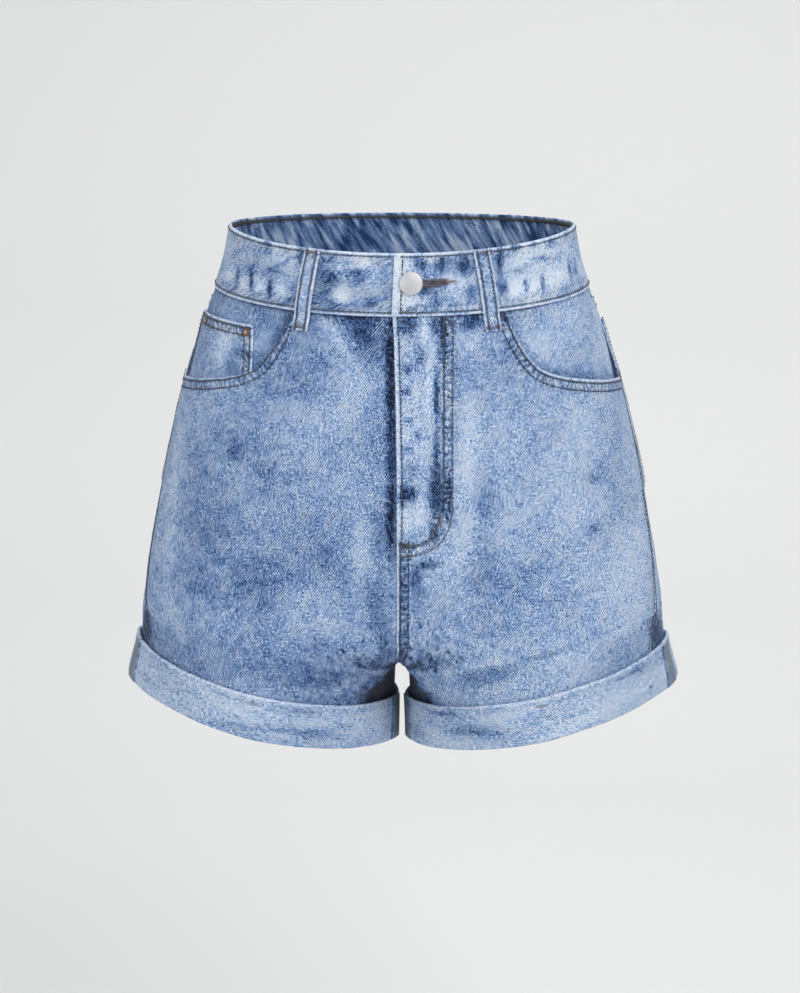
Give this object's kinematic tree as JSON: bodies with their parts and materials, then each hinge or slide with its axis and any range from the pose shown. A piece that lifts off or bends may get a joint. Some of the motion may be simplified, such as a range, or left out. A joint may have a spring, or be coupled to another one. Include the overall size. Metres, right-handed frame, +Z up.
{
  "type": "denim shorts",
  "caption": "High-waist denim shorts with five pockets, a lapped fly with a shank button, belt loops and rolled cuffs, filled out as if worn, open at the waist and legs.",
  "frame": {"origin": "middle of the waist opening, level with the top of the waistband at the sides, where the wearer's waist holds the shorts up", "axes": "+Z up; the front faces -Y; +X to the wearer's left, which is the picture's right"},
  "size_m": [0.415, 0.2453, 0.3881],
  "materials": {
    "denim_front_right": "washed denim twill, a little greyer",
    "denim_front_left": "washed denim twill, a little lighter",
    "denim_back": "washed denim twill",
    "denim_band": "washed denim twill, worn at the folded edges",
    "denim_facing": "washed denim twill",
    "denim_reverse": "pale reverse side of the twill, turned out",
    "pocketing": "plain cotton",
    "zip_tape": "woven tape with a metal chain",
    "silver_metal": "satin silver",
    "old_copper": "dull antique copper"
  },
  "bodies": {
    "root": {"waistband": "denim_band", "front_left": "denim_front_left", "front_right": "denim_front_right", "yoke_left": "denim_back", "yoke_right": "denim_back", "back_left": "denim_back", "back_right": "denim_back", "pocket_facing_left": "denim_facing", "pocket_facing_right": "denim_facing", "pocket_bag_left": "pocketing", "pocket_bag_right": "pocketing", "back_pocket_left": "denim_back", "back_pocket_right": "denim_back", "coin_pocket": "denim_facing", "cuff_left": "denim_reverse", "cuff_right": "denim_reverse", "belt_loop_front_left": "denim_band", "belt_loop_front_right": "denim_band", "belt_loop_back_left": "denim_band", "belt_loop_back_right": "denim_band", "belt_loop_back_centre": "denim_band", "fly_zip": "zip_tape", "zip_slider": "silver_metal", "button": "silver_metal", "rivet_inner": "old_copper", "rivet_outer": "old_copper"}
  },
  "joints": []
}
